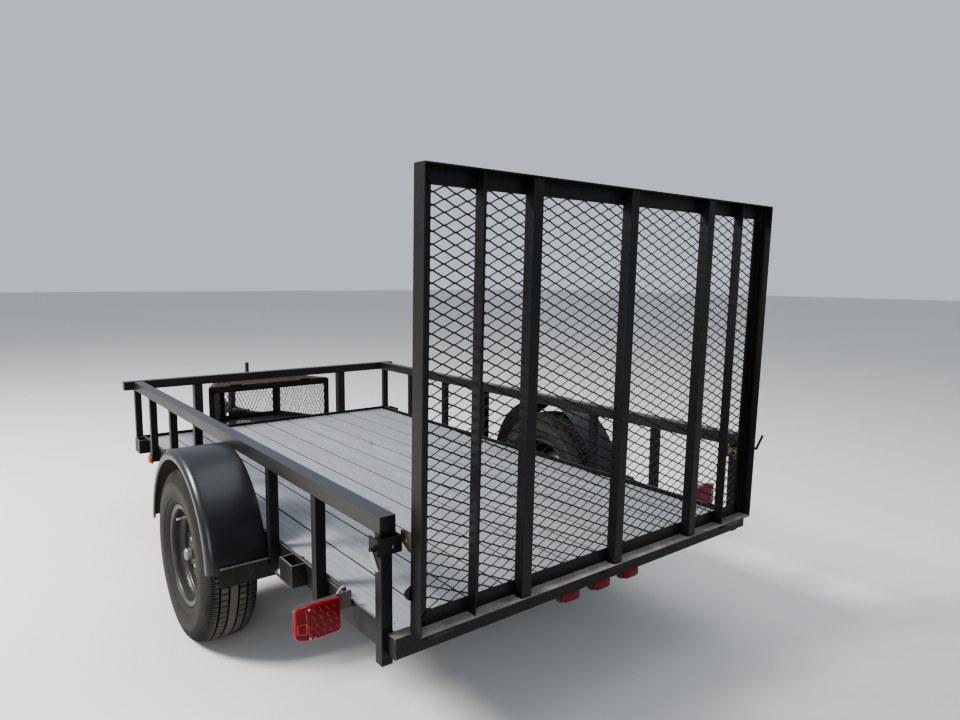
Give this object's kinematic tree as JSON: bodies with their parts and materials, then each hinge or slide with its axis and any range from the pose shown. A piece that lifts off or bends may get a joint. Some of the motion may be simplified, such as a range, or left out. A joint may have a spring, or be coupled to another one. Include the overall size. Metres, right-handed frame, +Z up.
{
  "type": "utility trailer",
  "caption": "Single-axle utility trailer: angle-iron bed with board deck, tube rails, mesh ramp gate, fendered wheels, tongue basket, jack and ball coupler.",
  "frame": {"origin": "on the ground, below the middle of the trailer's box", "axes": "+Y towards the ramp gate, +X the trailer's left side, +Z up"},
  "size_m": [2.216, 4.276, 1.7762],
  "materials": {
    "amber_lens": "gloss",
    "basket_rust": "matt, rusty",
    "deck_wood": "matt, weathered",
    "fender_paint": "satin",
    "frame_paint": "satin",
    "gate_paint": "satin",
    "hub_metal": "satin",
    "red_lens": "gloss",
    "running_gear": "matt, dusty",
    "rust_plate": "rusty",
    "tyre": "matt",
    "wheel_paint": "satin",
    "zinc": "satin"
  },
  "bodies": {
    "chassis": {"axle": "running_gear", "basket_frame": "frame_paint", "basket_hinges": "frame_paint", "basket_mesh": "basket_rust", "coupler": "frame_paint", "coupler_lever": "frame_paint", "crossmembers": "frame_paint", "deck_boards": "deck_wood", "fender_brackets": "frame_paint", "fender_left": "fender_paint", "fender_right": "fender_paint", "frame_rails": "frame_paint", "front_member": "frame_paint", "hinge_lugs": "frame_paint", "jack_crank": "zinc", "jack_tube": "frame_paint", "latches": "frame_paint", "leaf_springs": "running_gear", "light_bar": "red_lens", "light_brackets": "frame_paint", "pockets_left": "frame_paint", "pockets_right": "frame_paint", "posts_front": "frame_paint", "posts_left": "frame_paint", "posts_right": "frame_paint", "rear_member": "frame_paint", "side_markers": "amber_lens", "spring_mounts": "running_gear", "tail_lights": "red_lens", "tongue": "frame_paint", "top_rail_front": "frame_paint", "top_rails": "frame_paint"},
    "wheel_left": {"hub_left": "hub_metal", "rim_left": "wheel_paint", "tyre_left": "tyre"},
    "wheel_right": {"hub_right": "hub_metal", "rim_right": "wheel_paint", "tyre_right": "tyre"},
    "gate": {"gate_frame": "gate_paint", "gate_hinges": "gate_paint", "gate_mesh": "gate_paint", "gate_strikes": "rust_plate", "gate_uprights": "gate_paint"},
    "lid": {"basket_lid": "frame_paint", "basket_lid_hinges": "frame_paint", "basket_lid_mesh": "basket_rust"},
    "jack_leg_body": {"jack_leg": "zinc"}
  },
  "joints": [
    {"name": "wheel_left_spin", "type": "hinge", "parent": "chassis", "child": "wheel_left", "pos_m": [0.994, 0.75295, 0.353], "axis": [1, 0, 0], "continuous": true},
    {"name": "wheel_right_spin", "type": "hinge", "parent": "chassis", "child": "wheel_right", "pos_m": [-0.994, 0.75295, 0.353], "axis": [1, 0, 0], "continuous": true},
    {"name": "gate_hinge", "type": "hinge", "parent": "chassis", "child": "gate", "pos_m": [0, 2.08495, 0.487], "axis": [-1, 0, 0], "range_deg": [0, 110]},
    {"name": "basket_lid_hinge", "type": "hinge", "parent": "chassis", "child": "lid", "pos_m": [0, -1.03805, 0.746], "axis": [-1, 0, 0], "range_deg": [0, 90]},
    {"name": "jack_slide", "type": "slide", "parent": "chassis", "child": "jack_leg_body", "axis": [0, 0, 1], "range_m": [0, 0.16]}
  ]
}
